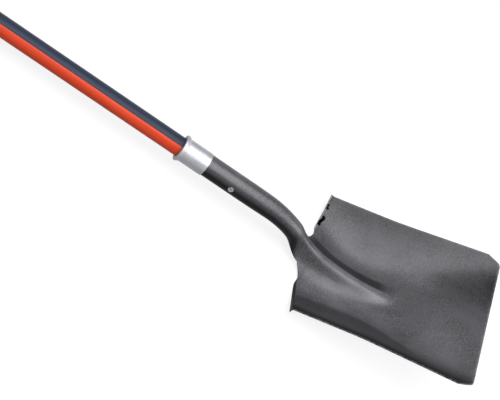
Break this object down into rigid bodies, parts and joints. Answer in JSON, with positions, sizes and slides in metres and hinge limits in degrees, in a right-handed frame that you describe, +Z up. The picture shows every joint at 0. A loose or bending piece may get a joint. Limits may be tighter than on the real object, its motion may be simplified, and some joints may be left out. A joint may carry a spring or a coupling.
{
  "type": "square shovel",
  "caption": "Long handled square point shovel: a dished steel blade with raised sides and a pressed ridge, a rolled socket, a bright collar and a straight round handle.",
  "frame": {"origin": "centre of the bounding box in plan, on the floor that the shovel rests on", "axes": "+X along the shovel, from the far end of the handle to the cutting edge; +Y across the blade; +Z up, away from the floor, the blade lying face up"},
  "size_m": [1.5584, 0.2614, 0.1289],
  "materials": {
    "head_coating": "dark grey hammered powder coat on steel, fine speckle",
    "collar_steel": "bright drawn steel",
    "rivet_steel": "bright steel, slightly worn",
    "glass_fibre": "bare glass fibre reinforced resin",
    "orange_jacket": "orange resin, satin gloss",
    "navy_jacket": "slate navy resin, satin gloss",
    "plug_wood": "bare turned wood",
    "cap_plastic": "black moulded plastic"
  },
  "bodies": {
    "root": {"shovel_head": "head_coating", "socket_collar": "collar_steel", "socket_rivet": "rivet_steel", "handle_tube": "glass_fibre", "handle_jacket_orange": "orange_jacket", "handle_jacket_navy": "navy_jacket", "handle_plug": "plug_wood", "handle_cap": "cap_plastic"}
  },
  "joints": []
}
